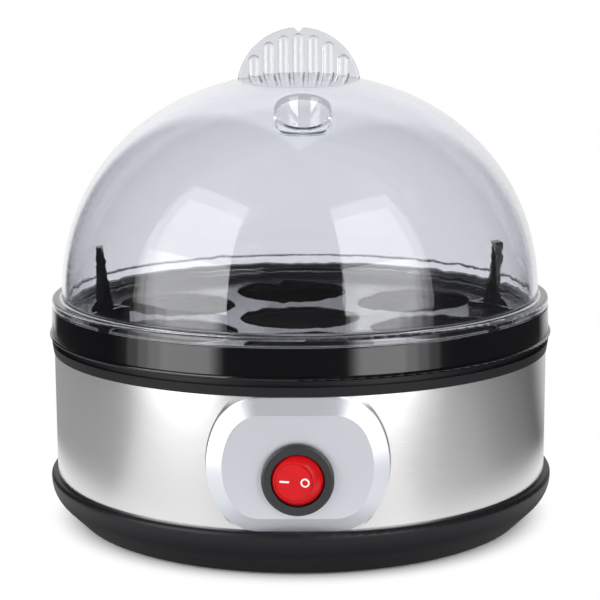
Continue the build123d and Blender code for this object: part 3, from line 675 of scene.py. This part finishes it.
# %% [markdown]
# ## The red rocker
# The rocker is clear red plastic, glossy and deep in colour. Light that goes in comes back red and even, so
# a plain saturated colour with a thin coat reads the same, and it is much quicker than a clear red body
# would be.

# %% Rocker finish
RED_DEEP = (0.487, 0.004, 0.006, 1)
RED_BRIGHT = (0.589, 0.006, 0.009, 1)
RED_CLOUD = 4 * MM
RED_GRAIN = 0.3 * MM
RED_GRAIN_DEPTH = 1 * UM
RED_ROUGHNESS = (0.20, 0.28)


def rocker_red():
    material, wire, shader = start_finish(
        "rocker_red", IOR=PLASTIC_IOR, Specular_IOR_Level=0.24, Coat_Weight=0.1, Coat_Roughness=0.05
    )
    place = place_on(wire)
    slow = grain(wire, place, RED_CLOUD, 2.0)
    fine = grain(wire, place, RED_GRAIN, 2.0)
    wire.feed(shader, {
        "Base Color": mix_colours(wire, slow, RED_DEEP, RED_BRIGHT),
        "Roughness": between(fine, *RED_ROUGHNESS),
        "Normal": bump(wire, fine, RED_GRAIN_DEPTH),
    })
    return material


dress(rocker_red(), "switch_rocker")
print("rocker between", RED_DEEP[:3], "and", RED_BRIGHT[:3])

# %% [markdown]
# ## The marks on the rocker
# Two marks are pad-printed on the rocker: a bar on the side that switches on and a ring on the side that
# switches off. They could be drawn in the red material, but as thin pieces of their own they keep a crisp
# edge. They ride on the rocker, so they tip with it. The bar is a flattened cube and the ring is a spun
# section. Both are drawn on an upright face at the pivot and then turned with the rocker's face.

# %% Shapes of the marks
PRINT_T = 0.03 * MM
BAR_W = 3.0 * MM
BAR_H = 0.62 * MM
BAR_X = -3.0 * MM
RING_R = 1.42 * MM
RING_W = 0.46 * MM
RING_X = 3.6 * MM
RING_STEPS = 64
ROCKER_TILT = radians(-11)
ROCKER_FACE = 6.37 * MM

pivot = Vector(next(joint["pos_m"] for joint in frame["joints"] if joint["name"] == "rocker_tilt"))
rocker_place = Matrix.Translation(pivot) @ Matrix.Rotation(ROCKER_TILT, 4, "Z")


def bar_mark(work):
    size = Matrix.Diagonal((BAR_W, PRINT_T, BAR_H, 1))
    middle = Matrix.Translation((BAR_X, -ROCKER_FACE - PRINT_T / 2, 0))
    bmesh.ops.create_cube(work, size=1.0, matrix=rocker_place @ middle @ size)


def ring_mark(work):
    inner_r = RING_R - RING_W
    back_y = -ROCKER_FACE
    front_y = -ROCKER_FACE - PRINT_T
    section = [(inner_r, back_y), (RING_R, back_y), (RING_R, front_y), (inner_r, front_y)]
    points = [work.verts.new((RING_X + x, y, 0)) for x, y in section]
    edges = [work.edges.new((points[i - 1], points[i])) for i in range(len(points))]
    bmesh.ops.spin(
        work, geom=points + edges, cent=(RING_X, 0, 0), axis=(0, 1, 0),
        angle=2 * pi, steps=RING_STEPS, use_merge=True,
    )
    bmesh.ops.recalc_face_normals(work, faces=work.faces)
    bmesh.ops.transform(work, matrix=rocker_place, verts=work.verts)


print("pivot of the rocker, mm:", [round(side / MM, 2) for side in pivot])

# %% [markdown]
# ## Printing the marks
# Pad-printing ink is a thin matt film, so the plastic recipe serves for it with almost no texture.

# %% Print the marks
MARK_WHITE = (0.86, 0.86, 0.87)

mark_white = moulded_plastic(
    "mark_white", MARK_WHITE, roughness=0.4, texture=(0.2 * MM, 0.5 * UM), ripple=(3 * MM, 0.5 * UM)
)
for name, shape in (("rocker_bar_mark", bar_mark), ("rocker_ring_mark", ring_mark)):
    mark = new_object(name, shape)
    mark.data.materials.append(mark_white)
    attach(mark, "rocker")
    print(name, "faces:", len(mark.data.polygons))

# %% [markdown]
# ## Metals
# Under the bowl sit the cast aluminium plate, a tube heater in heat-darkened steel, plated steel fasteners
# and brass blades. They show when the tray is lifted or from below. Each metal lies between two tones, with
# a grain that is coarse where it was cast and fine where it was plated.

# %% Metals
METAL_SPREAD = 0.2


def plain_metal(name, dark, pale, roughness, texture):
    """Bare metal between two tones, with a texture given as its size and its depth."""
    material, wire, shader = start_finish(name, Metallic=1.0)
    size, depth = texture
    fine = grain(wire, place_on(wire), size)
    wire.feed(shader, {
        "Base Color": mix_colours(wire, fine, dark + (1,), pale + (1,)),
        "Roughness": between(fine, (1 - METAL_SPREAD) * roughness, (1 + METAL_SPREAD) * roughness),
        "Normal": bump(wire, fine, depth),
    })
    return material


cast_aluminium = plain_metal(
    "cast_aluminium", dark=(0.50, 0.51, 0.52), pale=(0.66, 0.67, 0.68),
    roughness=0.40, texture=(1.2 * MM, 12 * UM),
)
zinc_steel = plain_metal(
    "zinc_steel", dark=(0.52, 0.53, 0.55), pale=(0.66, 0.67, 0.69),
    roughness=0.28, texture=(0.5 * MM, 3 * UM),
)
brass = plain_metal(
    "brass", dark=(0.62, 0.45, 0.20), pale=(0.76, 0.58, 0.30),
    roughness=0.30, texture=(0.6 * MM, 3 * UM),
)
element_steel = plain_metal(
    "element_steel", dark=(0.20, 0.19, 0.18), pale=(0.36, 0.34, 0.32),
    roughness=0.48, texture=(2 * MM, 8 * UM),
)
dress(cast_aluminium, "heating_plate")
dress(
    zinc_steel, "base_screws", "panel_screws", "clamp_ring", "clamp_nuts", "element_pins",
    "thermostat_bracket", "bracket_nuts", "thermal_fuse", "fuse_clip", "terminal_screws",
)
dress(brass, "switch_terminals", "thermostat_terminals", "terminal_inserts")
dress(element_steel, "heating_element")
print("metals:", cast_aluminium.name, zinc_steel.name, brass.name, element_steel.name)

# %% [markdown]
# ## Rubber and insulators
# The feet are matt rubber and the plate sits on a red silicone gasket. The thermostat and the terminal
# block are white ceramic. The leads near the heater wear a woven glass sleeve, which is rough and deep, and
# the others have plain brown or blue insulation. The plastic recipe makes all of them with other numbers.

# %% Rubber and insulators
foot_rubber = moulded_plastic(
    "foot_rubber", (0.018, 0.018, 0.018), roughness=0.75, texture=(0.3 * MM, 6 * UM), ripple=(8 * MM, 4 * UM)
)
silicone = moulded_plastic(
    "silicone", (0.42, 0.08, 0.05), roughness=0.55, texture=(0.4 * MM, 3 * UM), ripple=(8 * MM, 3 * UM)
)
ceramic_white = moulded_plastic(
    "ceramic_white", (0.72, 0.70, 0.65), roughness=0.35, texture=(0.3 * MM, 2 * UM), ripple=(6 * MM, 3 * UM)
)
lead_sleeve = moulded_plastic(
    "lead_sleeve", (0.66, 0.62, 0.52), roughness=0.8, texture=(0.5 * MM, 30 * UM), ripple=(5 * MM, 10 * UM)
)
lead_brown = moulded_plastic(
    "lead_brown", (0.14, 0.06, 0.03), roughness=0.5, texture=(0.4 * MM, 3 * UM), ripple=(9 * MM, 3 * UM)
)
lead_blue = moulded_plastic(
    "lead_blue", (0.03, 0.09, 0.32), roughness=0.5, texture=(0.4 * MM, 3 * UM), ripple=(9 * MM, 3 * UM)
)
dress(foot_rubber, "rubber_feet")
dress(silicone, "plate_gasket")
dress(ceramic_white, "thermostat", "terminal_block")
dress(lead_sleeve, "fuse_sleeve", "lead_heater", "lead_fuse")
dress(lead_brown, "lead_supply", "lead_switched")
dress(lead_blue, "lead_neutral")
print("materials in all:", len(bpy.data.materials))

# %% [markdown]
# ## Finish
